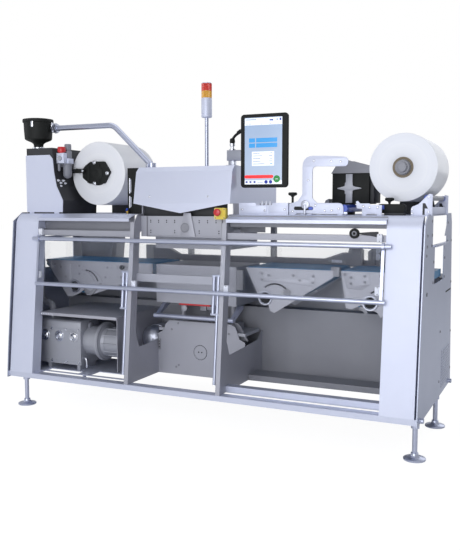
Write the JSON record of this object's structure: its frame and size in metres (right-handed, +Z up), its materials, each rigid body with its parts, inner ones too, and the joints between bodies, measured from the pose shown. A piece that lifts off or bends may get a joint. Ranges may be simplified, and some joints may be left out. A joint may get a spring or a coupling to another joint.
{
  "type": "tray sealer",
  "caption": "Tray sealing machine with belt conveyors, lifting sealing station, film reels, clear front guard, swivel screen and levelling feet.",
  "frame": {"origin": "on the floor, in the middle of the bounding box", "axes": "+X along the tray line to the right end seen from the front, +Y to the back, +Z up"},
  "size_m": [2.9265, 1.21, 2.23],
  "materials": {
    "stainless": "bead-blasted stainless sheet",
    "dark_metal": "dark painted cast and folded metal",
    "belt": "blue food-grade conveyor belt",
    "black_plastic": "moulded black plastic",
    "white_plastic": "moulded white plastic",
    "clear_sheet": "clear polycarbonate sheet",
    "film": "wound plastic film",
    "core_board": "wound board core",
    "red_plastic": "moulded red plastic",
    "yellow_plastic": "moulded yellow plastic",
    "blue_roller": "dark blue roller sleeve"
  },
  "bodies": {
    "machine": {"base_frame": "stainless", "rear_rail": "stainless", "left_end_plate": "stainless", "right_end_plate": "stainless", "left_pillar_cover": "stainless", "right_pillar_cover": "stainless", "bulkhead_1": "stainless", "bulkhead_2": "stainless", "left_deck": "stainless", "right_deck": "stainless", "front_beams": "stainless", "rear_cabinet": "stainless", "left_conveyor_frame": "stainless", "middle_conveyor_frame": "stainless", "right_conveyor_frame": "stainless", "transfer_beam": "stainless", "station_hood": "stainless", "upper_tool": "stainless", "mechanism_plate": "stainless", "pump_cover": "stainless", "twin_tubes": "stainless", "guard_pivot_tube": "stainless", "side_cover": "stainless", "screen_arm": "stainless", "film_end_brackets": "stainless", "suction_pipe": "stainless", "levelling_feet": "stainless", "vacuum_pump": "dark_metal", "lift_drive": "dark_metal", "reel_stands": "dark_metal", "film_path_brackets": "dark_metal", "printer_box": "dark_metal", "conveyor_belts": "belt", "vacuum_hose": "black_plastic", "filter_cabinet": "black_plastic", "air_service_unit": "black_plastic", "guard_switches": "white_plastic", "filter_canister": "white_plastic", "beacon": "red_plastic", "stop_box": "yellow_plastic"},
    "used_reel": {"used_film_reel": "film", "reel_hub": "dark_metal"},
    "film_reel": {"film_roll": "film", "film_core_shaft": "core_board"},
    "screen_head": {"screen": "black_plastic"},
    "guard": {"guard_handle_tube": "stainless", "guard_pane": "clear_sheet"},
    "tool_lift": {"lower_tool": "stainless", "lift_bar": "stainless", "tool_latch": "red_plastic"},
    "stop_button": {"stop_button": "red_plastic"},
    "path_roller": {"path_guide_roller": "blue_roller"},
    "end_roller": {"end_guide_roller": "blue_roller"}
  },
  "joints": [
    {"name": "used_reel_spin", "type": "hinge", "parent": "machine", "child": "used_reel", "pos_m": [-0.90025, -0.023, 1.634], "axis": [0, 1, 0], "continuous": true},
    {"name": "film_reel_spin", "type": "hinge", "parent": "machine", "child": "film_reel", "pos_m": [1.23775, -0.023, 1.631], "axis": [0, 1, 0], "continuous": true},
    {"name": "screen_swivel", "type": "hinge", "parent": "machine", "child": "screen_head", "pos_m": [0.39375, -0.235, 1.735], "axis": [0, 0, 1], "range_deg": [-20, 45]},
    {"name": "guard_lift", "type": "hinge", "parent": "machine", "child": "guard", "pos_m": [0.00175, -0.51201, 1.18], "axis": [-1, 0, 0], "range_deg": [0, 95]},
    {"name": "tool_raise", "type": "slide", "parent": "machine", "child": "tool_lift", "axis": [0, 0, 1], "range_m": [0, 0.08]},
    {"name": "stop_press", "type": "slide", "parent": "machine", "child": "stop_button", "axis": [0, 1, 0], "range_m": [0, 0.005], "stiffness_N_per_m": 1500},
    {"name": "path_roller_spin", "type": "hinge", "parent": "machine", "child": "path_roller", "pos_m": [0.92775, -0.088, 1.392], "axis": [0, 1, 0], "continuous": true},
    {"name": "end_roller_spin", "type": "hinge", "parent": "machine", "child": "end_roller", "pos_m": [1.39775, -0.05, 1.452], "axis": [0, 1, 0], "continuous": true}
  ]
}
